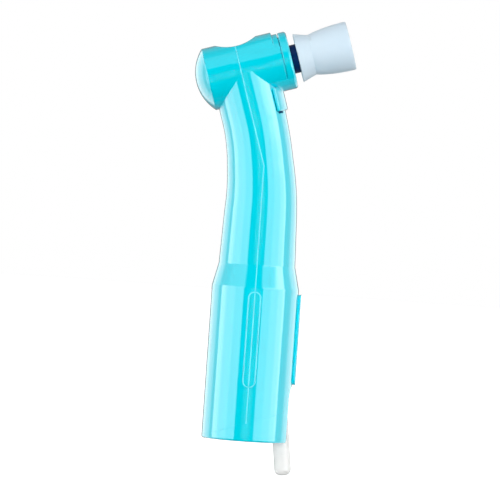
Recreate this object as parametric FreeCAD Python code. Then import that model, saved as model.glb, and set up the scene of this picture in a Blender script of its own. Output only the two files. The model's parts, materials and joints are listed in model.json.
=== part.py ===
import FreeCAD, Part
import math
import os

# A bent dental polishing head: a moulded housing that pushes onto a handpiece, a train of shafts and
# bevel gears inside it, and a soft cup that turns on the side of the head.
# Millimetres and degrees. The origin is the centre of the sleeve's mouth, +Z runs up the sleeve, and
# +X is the side that the polishing cup faces. The object's middle plane is XZ.

# ---- driving dimensions: housing
sleeve_r = 6.11
sleeve_len = 21.4
sleeve_wall = 0.91
mouth_round = 0.3
mouth_chamfer = 0.15
shoulder_len = 3.2
shoulder_round = 1.5
neck_foot_r = 5.36
neck_top_r = 4.38
neck_bore_r = 4.2
bend_z = 38.4
bend_angle = 17.5
bend_radius = 39.0
upper_len = 13.63
notch_half = 2.1
notch_top = 8.1
pad_half = 0.82
pad_height = 0.4
pad_low = 7.6
pad_high = 20.8

# ---- driving dimensions: head
barrel_r = 4.4
barrel_back = 4.75
dome_height = 1.8
barrel_front = 5.1
lip_r = 4.0
lip_front = 6.05
barrel_bore_r = 3.55
back_wall_at = 2.6
scoop_half = 3.1
scoop_top = 4.48
scoop_bottom = 3.6

# ---- driving dimensions: head cap
cap_r = 4.1
cap_len = 1.25
cap_round = 0.35
plug_len = 1.45
skirt_clear = 0.2
skirt_angle = 49.0
leg_r = 5.1
leg_thick = 1.2
leg_angle = 42.0
leg_end = 6.7
latch_gap = 0.28

# ---- driving dimensions: gears, rotor and cup
gear_teeth = 10
gear_pitch_r = 2.4
gear_inner = 2.0
tip_angle = 5.6
root_angle = 8.0
tooth_half = 7.4
flank_slope = 0.8
gear_hub_len = 0.58
pinion_room = 0.18
rotor_flange_r = 3.2
rotor_flange_thick = 0.8
rear_journal_r = 0.9
rear_journal_end = 4.3
hub_r = 2.03
hub_reach = 0.9
stem_r = 1.25
stem_len = 1.35
button_r = 1.95
button_len = 1.5
button_round = 0.5
washer_thick = 0.3
cup_len = 7.6
cup_base_r = 3.44
cup_waist_r = 2.83
cup_waist_at = 2.0
cup_flare_r = 3.14
cup_flare_at = 3.4
cup_body_r = 3.43
cup_body_at = 5.2
cup_lip_r = 3.37
cup_lip_wall = 0.6
cup_floor_r = 2.2
cup_depth = 3.5
cup_edge = 0.15
web_count = 6
web_height = 1.5
web_thick = 0.4
web_inner = 0.8

# ---- driving dimensions: shafts and their bearings
upper_shaft_r = 1.1
front_bush_len = 2.8
rear_bush_len = 2.0
rear_bush_gap = 0.7
clip_r = 1.9
clip_thick = 0.4
clip_groove_r = 0.85
clip_gap = 1.1
socket_r = 1.9
socket_bore_r = 1.15
socket_above = 1.7
socket_below = 1.0
socket_floor = 1.25
slot_above = 1.15
swivel_r = 3.4
swivel_cavity_r = 2.75
swivel_top = 1.0
swivel_tail_r = 1.9
swivel_tail_len = 5.3
swivel_slit = 1.5
retainer_r = 2.62
retainer_top = 2.25
retainer_thick = 1.15
ball_r = 1.05
lug_r = 0.36
lug_half = 1.75
shaft_neck_r = 0.55
journal_r = 1.0
collar_r = 1.6
collar_len = 0.6
shank_r = 1.0
grip_r = 1.175
grip_len = 8.4
tip_round = 0.7
shaft_len = 43.3
rest_gap = 0.2

# ---- clearances
turning = 0.05
sliding = 0.02
axial = 0.1

# ---- places worked out from the dimensions above
spread = math.radians(bend_angle)
bend_reach = bend_radius * math.tan(spread / 2)
bend_start = bend_z - bend_reach
bend = FreeCAD.Vector(0, 0, bend_z)
upward = FreeCAD.Vector(-math.sin(spread), 0, math.cos(spread))
head = bend + upward * upper_len
sleeve_bore_r = sleeve_r - sleeve_wall
shoulder_top = sleeve_len + shoulder_len
lean_slope = (sleeve_bore_r - shank_r - rest_gap) / (bend_z - notch_top)
shaft_lean = math.degrees(math.atan(lean_slope))
seat_r = swivel_r + turning
cone_length = gear_pitch_r * math.sqrt(2)
root_cone = math.radians(45 - root_angle)
tip_cone = math.radians(45 + tip_angle)
gear_back = cone_length * math.cos(root_cone) + gear_hub_len
bush_bore_r = cone_length * math.sin(tip_cone) + pinion_room
skirt_back = bush_bore_r + skirt_clear
plug_at = lip_front - plug_len
flange_at = plug_at - washer_thick - turning - rotor_flange_thick
cup_at = lip_front + cap_len + hub_reach
cup_end = cup_at + cup_len
front_bush_top = gear_back + axial
front_bush_end = front_bush_top + front_bush_len
rear_bush_top = upper_len - socket_above - rear_bush_gap - rear_bush_len

Y = FreeCAD.Vector(0, 1, 0)
Z = FreeCAD.Vector(0, 0, 1)
neck_frame = FreeCAD.Placement(head, FreeCAD.Rotation(Y, -bend_angle))
cup_frame = FreeCAD.Placement(head, FreeCAD.Rotation(Y, 90 - bend_angle))
shaft_frame = FreeCAD.Placement(bend, FreeCAD.Rotation(Y, -shaft_lean))


def placed(shape, frame):
    """The shape, built about its own origin, moved into one of the frames."""
    moved = shape.copy()
    moved.Placement = frame
    return moved


def turned(start, *steps):
    """Solid of revolution about Z. Points are (radius, height); a step of two points is an arc
    that passes through the first and ends at the second."""
    edges = []
    here = FreeCAD.Vector(start[0], 0, start[1])
    for step in steps + (start,):
        if isinstance(step[0], tuple):
            through = FreeCAD.Vector(step[0][0], 0, step[0][1])
            there = FreeCAD.Vector(step[1][0], 0, step[1][1])
            edges.append(Part.Arc(here, through, there).toShape())
        else:
            there = FreeCAD.Vector(step[0], 0, step[1])
            edges.append(Part.LineSegment(here, there).toShape())
        here = there
    return Part.Face(Part.Wire(edges)).revolve(FreeCAD.Vector(), Z, 360)


def rod(radius, low, high):
    """Cylinder about Z between two heights."""
    return Part.makeCylinder(radius, high - low, FreeCAD.Vector(0, 0, low))


def tube(inner, outer, low, high):
    """Round tube about Z between two heights."""
    return rod(outer, low, high).cut(rod(inner, low, high))


def block(low, high):
    """Box between two opposite corners."""
    size = [b - a for a, b in zip(low, high)]
    return Part.makeBox(size[0], size[1], size[2], FreeCAD.Vector(*low))


def sector(inner, outer, low, high, half_angle):
    """Part of a tube about Z that spans half_angle to each side of +X."""
    ring = tube(inner, outer, low, high)
    reach = 3 * outer
    side = math.radians(half_angle)
    wedge = Part.makePolygon([
        FreeCAD.Vector(0, 0, low),
        FreeCAD.Vector(reach, -reach * math.tan(side), low),
        FreeCAD.Vector(reach, reach * math.tan(side), low),
        FreeCAD.Vector(0, 0, low),
    ])
    return ring.common(Part.Face(wedge).extrude(Z * (high - low)))


def neck_radius(share):
    """Outside radius of the neck, from 0 at the shoulder's top to 1 where the bend ends."""
    eased = share * share * (3 - 2 * share)
    return neck_foot_r + (neck_top_r - neck_foot_r) * (share + eased) / 2


def neck_circle(travel, total):
    """Round section of the neck at a distance along its centre line from the shoulder's top."""
    radius = neck_radius(travel / total)
    straight = bend_start - shoulder_top
    if travel <= straight:
        return Part.Wire(Part.makeCircle(radius, FreeCAD.Vector(0, 0, shoulder_top + travel), Z))
    turn = (travel - straight) / bend_radius
    middle = FreeCAD.Vector(
        -bend_radius * (1 - math.cos(turn)), 0, bend_start + bend_radius * math.sin(turn))
    heading = FreeCAD.Vector(-math.sin(turn), 0, math.cos(turn))
    return Part.Wire(Part.makeCircle(radius, middle, heading))


def sleeve_outside():
    """Sleeve with a rounded mouth and the cone, rounded at both ends, where it narrows to the neck."""
    tilt = math.atan((sleeve_r - neck_foot_r) / shoulder_len)
    trim = shoulder_round * math.tan(tilt / 2)
    half_in = shoulder_round * (1 - math.cos(tilt / 2))
    half_up = shoulder_round * math.sin(tilt / 2)
    slant_in = trim * math.sin(tilt)
    slant_up = trim * math.cos(tilt)
    corner = mouth_round * (1 - math.sqrt(0.5))
    low = sleeve_len - trim
    high = shoulder_top + trim
    return turned(
        (0, 0),
        (sleeve_r - mouth_round, 0),
        ((sleeve_r - corner, corner), (sleeve_r, mouth_round)),
        (sleeve_r, low),
        ((sleeve_r - half_in, low + half_up), (sleeve_r - slant_in, sleeve_len + slant_up)),
        (neck_foot_r + slant_in, shoulder_top - slant_up),
        ((neck_foot_r + half_in, high - half_up), (neck_foot_r, high)),
        (0, high),
    )


def neck_outside():
    """Tapering neck that follows the bend, and its straight end up to the head."""
    straight = bend_start - shoulder_top
    total = straight + bend_radius * spread
    sections = 10
    stations = [total * i / sections for i in range(sections + 1)]
    bent = Part.makeLoft([neck_circle(s, total) for s in stations], True, False)
    end = placed(rod(neck_top_r, bend_reach - upper_len, 0), neck_frame)
    return bent.fuse(end)


def head_outside():
    """Barrel across the end of the neck, with a domed back and a hollow worn into its top."""
    dome_r = (barrel_r ** 2 + dome_height ** 2) / (2 * dome_height)
    dome_middle = dome_r - barrel_back - dome_height
    half = math.asin(barrel_r / dome_r) / 2
    barrel = turned(
        (0, -barrel_back - dome_height),
        ((dome_r * math.sin(half), dome_middle - dome_r * math.cos(half)), (barrel_r, -barrel_back)),
        (barrel_r, barrel_front),
        (lip_r, barrel_front),
        (lip_r, lip_front),
        (0, lip_front),
    )
    rise = scoop_top - scoop_bottom
    scoop_r = (scoop_half ** 2 + rise ** 2) / (2 * rise)
    start = FreeCAD.Vector(0, -2 * barrel_r, scoop_bottom + scoop_r)
    scoop = Part.makeCylinder(scoop_r, 4 * barrel_r, start, Y)
    return placed(barrel, cup_frame).cut(placed(scoop, neck_frame))


def grip_pad(angle, low):
    """Long raised pad with round ends on the sleeve, at an angle about Z from +X."""
    outer = sleeve_r + pad_height
    plate = block((sleeve_bore_r, -pad_half, low + pad_half), (2 * outer, pad_half, pad_high - pad_half))
    for height in (low + pad_half, pad_high - pad_half):
        start = FreeCAD.Vector(sleeve_bore_r, 0, height)
        reach = 2 * outer - sleeve_bore_r
        plate = plate.fuse(Part.makeCylinder(pad_half, reach, start, FreeCAD.Vector(1, 0, 0)))
    wall_middle = (sleeve_bore_r + sleeve_r) / 2
    pad = plate.common(tube(wall_middle, outer, 0, sleeve_len))
    pad.rotate(FreeCAD.Vector(), Z, angle)
    return pad


def sleeve_notch():
    """Round-ended opening up from the mouth on the +X side, where the loose shaft leans out."""
    reach = sleeve_r + 2 * pad_height
    height = notch_top - notch_half
    opening = block((0, -notch_half, -sleeve_r), (reach, notch_half, height))
    end = Part.makeCylinder(notch_half, reach, FreeCAD.Vector(0, 0, height), FreeCAD.Vector(1, 0, 0))
    return opening.fuse(end)


def housing_inside():
    """Hollow of the housing: the handpiece socket, the neck, the swivel's seat, the shaft's bore and
    the gear chamber."""
    narrow = bend_z - swivel_tail_len
    slope = neck_bore_r - seat_r
    hollow = turned(
        (0, -sleeve_r),
        (sleeve_bore_r + mouth_chamfer + sleeve_r, -sleeve_r),
        (sleeve_bore_r, mouth_chamfer),
        (sleeve_bore_r, sleeve_len),
        (neck_bore_r, shoulder_top),
        (neck_bore_r, narrow - slope),
        (seat_r, narrow),
        (seat_r, bend_z),
        ((seat_r * math.sqrt(0.5), bend_z + seat_r * math.sqrt(0.5)), (0, bend_z + seat_r)),
    )
    bore = placed(rod(bush_bore_r, -upper_len, 0), neck_frame)
    chamber = placed(rod(barrel_bore_r, -back_wall_at, 2 * lip_front), cup_frame)
    journal_hole = rod(rear_journal_r + turning, -rear_journal_end - axial, -back_wall_at + axial)
    return hollow.multiFuse([bore, chamber, placed(journal_hole, cup_frame)])


def cap_skirt(gap):
    """Underside of the barrel's front that belongs to the cap, grown by a gap."""
    side = skirt_angle + math.degrees(gap / cap_r)
    skirt = sector(barrel_bore_r - gap, cap_r + gap, skirt_back - gap, lip_front, side)
    return placed(skirt, cup_frame)


def cap_leg(gap, end_gap, outer):
    """Leg of the cap that lies along the neck, grown by a gap and lengthened by end_gap."""
    side = leg_angle + math.degrees(gap / leg_r)
    leg = sector(leg_r - leg_thick - gap, outer, -leg_end - end_gap, -skirt_back, side)
    inside = placed(rod(barrel_bore_r, -barrel_r, 2 * lip_front), cup_frame)
    return placed(leg, neck_frame).cut(inside)


def housing():
    """One-piece moulded body."""
    outside = sleeve_outside().multiFuse([neck_outside(), head_outside()])
    pads = [grip_pad(90, pad_low), grip_pad(-90, pad_low), grip_pad(0, notch_top + axial)]
    body = outside.multiFuse(pads)
    pocket = cap_leg(sliding, latch_gap, 2 * leg_r).fuse(cap_skirt(sliding))
    return body.cut(housing_inside()).cut(sleeve_notch()).cut(pocket).removeSplitter()


def head_cap():
    """Front cap: a ring with a plug in the barrel, a skirt and a leg that clips to the neck."""
    corner = cap_round * (1 - math.sqrt(0.5))
    front = lip_front + cap_len
    hole = hub_r + turning
    ring = turned(
        (hole, plug_at),
        (barrel_bore_r - sliding, plug_at),
        (barrel_bore_r - sliding, lip_front),
        (cap_r, lip_front),
        (cap_r, front - cap_round),
        ((cap_r - corner, front - corner), (cap_r - cap_round, front)),
        (hole, front),
    )
    bridge = sector(barrel_bore_r - 2 * sliding, cap_r, plug_at, lip_front, skirt_angle)
    skirt = cap_skirt(0).fuse(cap_leg(0, 0, leg_r))
    return skirt.multiFuse([placed(ring, cup_frame), placed(bridge, cup_frame)]).removeSplitter()


def gear_point(cone, turn, distance):
    """Point at a distance from the gears' common apex, given its angle off Z and its turn about Z."""
    off = math.radians(cone)
    around = math.radians(turn)
    return FreeCAD.Vector(
        distance * math.sin(off) * math.cos(around),
        distance * math.sin(off) * math.sin(around),
        distance * math.cos(off))


def gear_tooth(turn):
    """Straight bevel tooth: every edge along it points at the apex."""
    deep = 45 - root_angle - root_angle / 2
    tip = 45 + tip_angle
    wide = tooth_half + flank_slope * (45 - deep)
    thin = tooth_half - flank_slope * tip_angle
    ends = []
    for distance in (gear_inner, cone_length):
        ends.append([
            gear_point(deep, turn - wide, distance),
            gear_point(tip, turn - thin, distance),
            gear_point(tip, turn + thin, distance),
            gear_point(deep, turn + wide, distance),
        ])
    near, far = ends
    outlines = [near, far]
    for i in range(len(near)):
        j = (i + 1) % len(near)
        outlines.append([near[i], near[j], far[j], far[i]])
    faces = [Part.Face(Part.makePolygon(points + points[:1])) for points in outlines]
    return Part.makeSolid(Part.makeShell(faces))


def bevel_teeth(first_turn):
    """All teeth of one bevel gear, opening along +Z from the apex."""
    pitch = 360 / gear_teeth
    return [gear_tooth(first_turn + pitch * i) for i in range(gear_teeth)]


def root_point(distance):
    """Radius and height on the gear's root cone at a distance from the apex."""
    return (distance * math.sin(root_cone), distance * math.cos(root_cone))


def button(gap):
    """Stem and rounded button on the rotor's end that the cup snaps over."""
    low = cup_at + stem_len
    high = low + button_len
    corner = button_round * (1 - math.sqrt(0.5))
    return turned(
        (0, cup_at - gap),
        (stem_r, cup_at - gap),
        (stem_r, low),
        (button_r, low),
        (button_r, high - button_round),
        ((button_r - corner, high - corner), (button_r - button_round, high)),
        (0, high),
    )


def rotor():
    """Driven bevel gear with its rear journal, thrust flange, hub and cup button."""
    body = turned(
        (0, -rear_journal_end),
        (rear_journal_r, -rear_journal_end),
        (rear_journal_r, root_point(gear_inner)[1]),
        root_point(gear_inner),
        root_point(cone_length),
        (root_point(cone_length)[0], flange_at),
        (rotor_flange_r, flange_at),
        (rotor_flange_r, flange_at + rotor_flange_thick),
        (hub_r, flange_at + rotor_flange_thick),
        (hub_r, cup_at),
        (0, cup_at),
    )
    solid = body.multiFuse(bevel_teeth(0) + [button(axial)])
    return placed(solid.removeSplitter(), cup_frame)


def thrust_washer():
    """Slip ring between the rotor's flange and the cap's plug."""
    ring = tube(hub_r + 2 * turning, barrel_bore_r - turning, plug_at - washer_thick, plug_at)
    return placed(ring, cup_frame)


def prophy_cup():
    """Soft cup: waisted outside, open hollow with webs on its floor."""
    lip = cup_lip_r - cup_lip_wall
    floor = cup_end - cup_depth
    outside = turned(
        (0, cup_at),
        (cup_base_r, cup_at),
        (cup_waist_r, cup_at + cup_waist_at),
        ((cup_flare_r, cup_at + cup_flare_at), (cup_body_r, cup_at + cup_body_at)),
        (cup_lip_r, cup_end - cup_edge),
        (cup_lip_r - cup_edge, cup_end),
        (0, cup_end),
    )
    hollow = turned((0, floor), (cup_floor_r, floor), (lip, cup_end + cup_edge), (0, cup_end + cup_edge))
    webs = []
    for i in range(web_count):
        web = block((web_inner, -web_thick / 2, floor), (cup_lip_r, web_thick / 2, floor + web_height))
        web.rotate(FreeCAD.Vector(), Z, 360 * i / web_count)
        webs.append(web)
    hollow = hollow.cut(webs[0].multiFuse(webs[1:]))
    return placed(outside.cut(hollow).cut(button(axial)), cup_frame)


def upper_shaft():
    """Pinion, its shaft, and the slotted socket that the lower shaft drives."""
    corner = -upper_len
    inner = root_point(gear_inner)
    outer = root_point(cone_length)
    body = turned(
        (0, -inner[1]),
        (inner[0], -inner[1]),
        (outer[0], -outer[1]),
        (outer[0], -gear_back),
        (upper_shaft_r, -gear_back),
        (upper_shaft_r, corner + socket_above),
        (socket_r, corner + socket_above),
        (socket_r, corner - socket_below),
        (0, corner - socket_below),
    )
    half_pitch = 180 / gear_teeth
    teeth = []
    for tooth in bevel_teeth(half_pitch):
        tooth.rotate(FreeCAD.Vector(), FreeCAD.Vector(1, 0, 0), 180)
        teeth.append(tooth)
    low = corner - 2 * socket_below
    hole = rod(socket_bore_r, low, corner + socket_floor)
    slot_half = lug_r + 4 * turning
    slot = block((-slot_half, -2 * socket_r, low), (slot_half, 2 * socket_r, corner + slot_above))
    clip_top = -front_bush_end - axial
    groove = tube(clip_groove_r, clip_r, clip_top - clip_thick, clip_top)
    solid = body.multiFuse(teeth).cut(hole).cut(slot).cut(groove)
    return placed(solid.removeSplitter(), neck_frame)


def shaft_clip():
    """Open ring in the shaft's groove, just below the front bush."""
    top = -front_bush_end - axial
    ring = tube(clip_groove_r, clip_r, top - clip_thick, top)
    mouth = block((-clip_gap / 2, 0, top - clip_thick), (clip_gap / 2, 2 * clip_r, top))
    return placed(ring.cut(mouth), neck_frame)


def neck_bush(top, length):
    """Plain bush for the upper shaft, pressed into the neck's bore."""
    return placed(tube(upper_shaft_r + turning, bush_bore_r, -top - length, -top), neck_frame)


def swivel_bush():
    """Ball-shaped bush that carries the lower shaft and tilts with it. A slit lets it snap on."""
    kept = block((-swivel_r, -swivel_r, -swivel_r), (swivel_r, swivel_r, swivel_top))
    ball = Part.makeSphere(swivel_r).common(kept)
    tail = rod(swivel_tail_r, -swivel_tail_len, -swivel_cavity_r)
    cavity = Part.makeSphere(swivel_cavity_r)
    bore = rod(journal_r + turning, -2 * swivel_tail_len, 0)
    slit_low = (-swivel_slit / 2, 0, -2 * swivel_tail_len)
    slit = block(slit_low, (swivel_slit / 2, 2 * swivel_r, -socket_below))
    return placed(ball.fuse(tail).cut(cavity).cut(bore).cut(slit), shaft_frame)


def bush_retainer():
    """Ring pressed into the neck under the swivel bush."""
    top = bend_z - retainer_top
    return tube(retainer_r, seat_r, top - retainer_thick, top)


def lower_shaft():
    """Straight shaft with a ball and two lugs on top, a journal, a collar and a round-ended shank."""
    journal_top = swivel_cavity_r + axial
    collar_top = swivel_tail_len + axial
    tip = tip_round * (1 - math.sqrt(0.5))
    body = turned(
        (0, 0),
        (shaft_neck_r, 0),
        (shaft_neck_r, -journal_top),
        (journal_r, -journal_top),
        (journal_r, -collar_top),
        (collar_r, -collar_top),
        (collar_r, -collar_top - collar_len),
        (shank_r, -collar_top - collar_len),
        (shank_r, grip_len - shaft_len),
        (grip_r, grip_len - shaft_len),
        (grip_r, tip_round - shaft_len),
        ((grip_r - tip, tip - shaft_len), (grip_r - tip_round, -shaft_len)),
        (0, -shaft_len),
    )
    lugs = Part.makeCylinder(lug_r, 2 * lug_half, FreeCAD.Vector(0, -lug_half, 0), Y)
    return placed(body.multiFuse([Part.makeSphere(ball_r), lugs]), shaft_frame)


nodes = {
    "housing": housing(),
    "head_cap": head_cap(),
    "thrust_washer": thrust_washer(),
    "rotor": rotor(),
    "prophy_cup": prophy_cup(),
    "upper_shaft": upper_shaft(),
    "shaft_clip": shaft_clip(),
    "front_bush": neck_bush(front_bush_top, front_bush_len),
    "rear_bush": neck_bush(rear_bush_top, rear_bush_len),
    "swivel_bush": swivel_bush(),
    "bush_retainer": bush_retainer(),
    "lower_shaft": lower_shaft(),
}

os.makedirs("parts", exist_ok=True)
for name, shape in nodes.items():
    print(name, shape.isValid(), len(shape.Solids), round(shape.Volume, 3))
    shape.exportStep("parts/" + name + ".step")
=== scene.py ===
# %% [markdown]
# # A bent dental polishing angle
# The object is a small moulded attachment that a hygienist pushes onto a slow handpiece. A sleeve and
# a bent neck carry a short barrel across the end, and a soft cup turns on the barrel's side. The packed
# CAD model says where everything is and how it moves. This lesson gives each visible piece its surface
# and its finish. The shapes could be pushed about by hand, but each one is a simple rule, such as an
# outline turned about an axis, so they are worked out with numpy, in millimetres.

# %% Load the fixed frame
import json
import math

import bpy
import numpy as np
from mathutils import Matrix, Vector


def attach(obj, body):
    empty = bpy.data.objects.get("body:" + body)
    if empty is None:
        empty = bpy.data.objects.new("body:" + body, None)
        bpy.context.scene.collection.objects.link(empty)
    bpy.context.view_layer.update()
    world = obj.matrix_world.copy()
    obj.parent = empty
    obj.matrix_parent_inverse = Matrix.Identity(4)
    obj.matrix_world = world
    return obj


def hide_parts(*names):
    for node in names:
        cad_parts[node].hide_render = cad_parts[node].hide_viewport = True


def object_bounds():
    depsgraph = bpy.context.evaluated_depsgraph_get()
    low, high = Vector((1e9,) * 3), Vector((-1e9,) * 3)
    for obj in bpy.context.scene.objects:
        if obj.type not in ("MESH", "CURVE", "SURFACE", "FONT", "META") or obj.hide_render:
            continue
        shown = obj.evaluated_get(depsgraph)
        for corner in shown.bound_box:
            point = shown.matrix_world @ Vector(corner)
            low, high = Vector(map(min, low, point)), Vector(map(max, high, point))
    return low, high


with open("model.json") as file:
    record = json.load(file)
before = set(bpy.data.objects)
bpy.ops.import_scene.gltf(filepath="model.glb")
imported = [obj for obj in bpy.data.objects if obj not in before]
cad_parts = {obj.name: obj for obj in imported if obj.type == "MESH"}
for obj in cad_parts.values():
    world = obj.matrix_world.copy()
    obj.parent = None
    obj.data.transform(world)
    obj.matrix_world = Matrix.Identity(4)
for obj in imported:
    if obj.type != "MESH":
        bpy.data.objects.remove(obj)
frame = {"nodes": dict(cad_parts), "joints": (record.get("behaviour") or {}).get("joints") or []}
cad_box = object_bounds()
print("CAD nodes:", ", ".join(sorted(frame["nodes"])))

# %% [markdown]
# Every piece sits on one of a few axes, and the joints already hold them: the shaft tilts about the
# corner of the bend, and the upper shaft and the cup both turn about lines through the head's centre.
# Reading them from the frame keeps the looks and the motion on the same lines.

# %% Read the axes from the joints
joints = {joint["name"]: joint for joint in frame["joints"]}


def joint_line(name):
    """A joint's point in millimetres, and its direction as a unit vector."""
    direction = np.array(joints[name]["axis"], float)
    return np.array(joints[name]["pos_m"]) * 1000, direction / np.linalg.norm(direction)


bend, side_way = joint_line("shaft_tilt")
head, neck_way = joint_line("upper_shaft_spin")
cup_way = joint_line("cup_spin")[1]
shaft_way = joint_line("shaft_spin")[1]
bend_angle = math.atan2(-neck_way[0], neck_way[2])
print("bend", round(math.degrees(bend_angle), 2), "degrees at", bend.round(2), "head at", head.round(2))

# %% [markdown]
# ## Outlines
# A moulded edge is never knife sharp. Bevel modifiers could round the edges afterwards, but here the
# outline itself is rounded first, so each radius is exactly the one that was asked for. A short extra
# step on each side of a curve keeps the flat beside it looking flat when the shading is smoothed.

# %% Round the corners of an outline
hold = 0.05


def corner_arc(before, corner, after, radius, steps):
    """Arc that touches both sides of a corner. Its ends lie radius / tan(half the corner's angle)
    from the corner, and its centre lies radius / sin(half the angle) along the bisector."""
    back = (before - corner) / np.linalg.norm(before - corner)
    on = (after - corner) / np.linalg.norm(after - corner)
    half = math.acos(np.clip(back @ on, -1, 1)) / 2
    centre = corner + (back + on) / np.linalg.norm(back + on) * radius / math.sin(half)
    reach = radius / math.tan(half)
    start = corner + back * reach - centre
    end = corner + on * reach - centre
    turn = math.pi - 2 * half
    share = np.linspace(0, 1, steps + 1)[:, None]
    arc = (np.sin((1 - share) * turn) * start + np.sin(share * turn) * end) / math.sin(turn)
    return np.vstack([corner + back * (reach + hold), centre + arc, corner + on * (reach + hold)])


def rounded(corners, steps=6, closed=False):
    """Outline through corners (a, b, radius), each rounded to its radius."""
    spots = np.array(corners, float)
    points = []
    for i, (a, b, radius) in enumerate(corners):
        inner = closed or 0 < i < len(corners) - 1
        if radius and inner:
            after = spots[(i + 1) % len(corners), :2]
            points.append(corner_arc(spots[i - 1, :2], spots[i, :2], after, radius, steps))
        else:
            points.append(spots[i:i + 1, :2])
    return np.vstack(points)


print("a square with one rounded corner has", len(rounded([(0, 0, 0), (1, 0, 0.2), (1, 1, 0)])), "points")

# %% [markdown]
# ## Surfaces
# A surface of revolution is an outline carried round an axis, which makes a grid of rows and columns.
# The screw modifier could do it, but a plain grid can be bent and dented by formula before it becomes
# a mesh. The grid is then closed, and turned inside out if its faces point the wrong way.

# %% Turn an outline about an axis and set it in place
full_turn = 2 * math.pi


def around(columns):
    """Evenly spaced angles over one turn."""
    return np.linspace(0, full_turn, columns, endpoint=False)


def turned(outline, columns=96):
    """Surface of revolution: (radius cos t, radius sin t, height)."""
    t = around(columns)
    radius, height = outline[:, :1], outline[:, 1:]
    return np.stack([radius * np.cos(t), radius * np.sin(t), height + 0 * t], -1)


def seated(points, origin, first, third):
    """Points moved so that their first and third axes lie along the two directions given."""
    second = np.cross(third, first)
    return origin + points[..., :1] * first + points[..., 1:2] * second + points[..., 2:] * third


def on_cup_axis(points):
    """Points whose third axis becomes the cup's axis, and whose first axis points down the neck."""
    return seated(points, head, -neck_way, cup_way)


def on_neck_axis(points):
    """Points whose third axis becomes the upper neck's axis, and whose first points at the cup."""
    return seated(points, head, cup_way, neck_way)


print("seven rows of an outline give a grid of", turned(np.ones((7, 2))).shape)

# %% [markdown]
# The signed volume tells which way a closed surface faces: each face adds the dot product of a corner
# with its area vector, and the sum is positive when the faces point outwards.

# %% Close a grid into a shell
def shell(grid, looped=False):
    """Points, four-sided faces and three-sided faces over a grid whose columns join round. The rows
    join too when looped, and otherwise each end is closed by a fan to the middle of its row."""
    rows, columns = grid.shape[:2]
    number = np.arange(rows * columns).reshape(rows, columns)
    lower = number if looped else number[:-1]
    upper = np.roll(number, -1, 0)[:len(lower)]
    quads = np.stack([lower, np.roll(lower, -1, 1), np.roll(upper, -1, 1), upper], -1).reshape(-1, 4)
    points = grid.reshape(-1, 3)
    fans = np.zeros((0, 3), int)
    if not looped:
        points = np.vstack([points, grid[0].mean(0), grid[-1].mean(0)])
        first, last = number[0], number[-1]
        centre = np.full(columns, rows * columns)
        low_fan = np.stack([np.roll(first, -1), first, centre], -1)
        high_fan = np.stack([last, np.roll(last, -1), centre + 1], -1)
        fans = np.vstack([low_fan, high_fan])
    triangles = np.vstack([quads[:, [0, 1, 2]], quads[:, [0, 2, 3]], fans])
    a, b, c = (points[triangles[:, i]] for i in range(3))
    if (a * np.cross(b, c)).sum() < 0:
        quads, fans = quads[:, ::-1], fans[:, ::-1]
    return points, quads, fans


def build_piece(name, shells, finish, body, stands_for=None, crease=40):
    """One mesh object from closed shells, in metres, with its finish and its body. Edges
    that turn by more than the crease angle, in degrees, stay sharp."""
    counts = np.cumsum([0] + [len(points) for points, _, _ in shells])
    points = np.vstack([points for points, _, _ in shells]) / 1000
    quads = np.vstack([quads + start for (_, quads, _), start in zip(shells, counts)])
    fans = np.vstack([fans + start for (_, _, fans), start in zip(shells, counts)])
    mesh = bpy.data.meshes.new(name)
    mesh.from_pydata(points.tolist(), [], quads.tolist() + fans.tolist())
    mesh.shade_smooth()
    mesh.set_sharp_from_angle(angle=math.radians(crease))
    mesh.materials.append(finish)
    piece = bpy.data.objects.new(name, mesh)
    bpy.context.scene.collection.objects.link(piece)
    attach(piece, body)
    if stands_for:
        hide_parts(stands_for)
    print(name, "has", len(points), "points and", len(quads) + len(fans), "faces")


# %% [markdown]
# ## Shader maths
# A procedural finish is a small sum over noise and position. Wiring Math nodes by hand hides that sum,
# so one class wraps an output and lets ordinary signs add the nodes. Every other node comes from one
# method, which takes the node's type, its settings and what goes into its sockets.

# %% Write shader nodes as sums
class Wire:
    """A node's output. A sum, difference or product with it adds a Math node."""

    def __init__(self, maker, socket):
        self.maker = maker
        self.socket = socket

    def __add__(self, other):
        return self.maker.node("Math", {"operation": "ADD"}, {0: self, 1: other})

    def __sub__(self, other):
        return self.maker.node("Math", {"operation": "SUBTRACT"}, {0: self, 1: other})

    def __rsub__(self, other):
        return self.maker.node("Math", {"operation": "SUBTRACT"}, {0: other, 1: self})

    def __mul__(self, other):
        return self.maker.node("Math", {"operation": "MULTIPLY"}, {0: self, 1: other})

    __radd__ = __add__
    __rmul__ = __mul__


class Nodes:
    """A node tree, and one way to add any node to it."""

    def __init__(self, tree):
        self.tree = tree

    def node(self, kind, settings=None, sockets=None, output=0):
        """A new node: its settings first, then a value or a wire for each named socket."""
        made = self.tree.nodes.new("ShaderNode" + kind)
        for key, value in (settings or {}).items():
            setattr(made, key, value)
        for key, value in (sockets or {}).items():
            if isinstance(value, Wire):
                self.tree.links.new(value.socket, made.inputs[key])
            else:
                made.inputs[key].default_value = value
        return Wire(self, made.outputs[output])

    def ramp(self, value, start, end):
        """Soft step from 0 at start to 1 at end."""
        settings = {"interpolation_type": "SMOOTHSTEP"}
        return self.node("MapRange", settings, {"Value": value, "From Min": start, "From Max": end})


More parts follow.
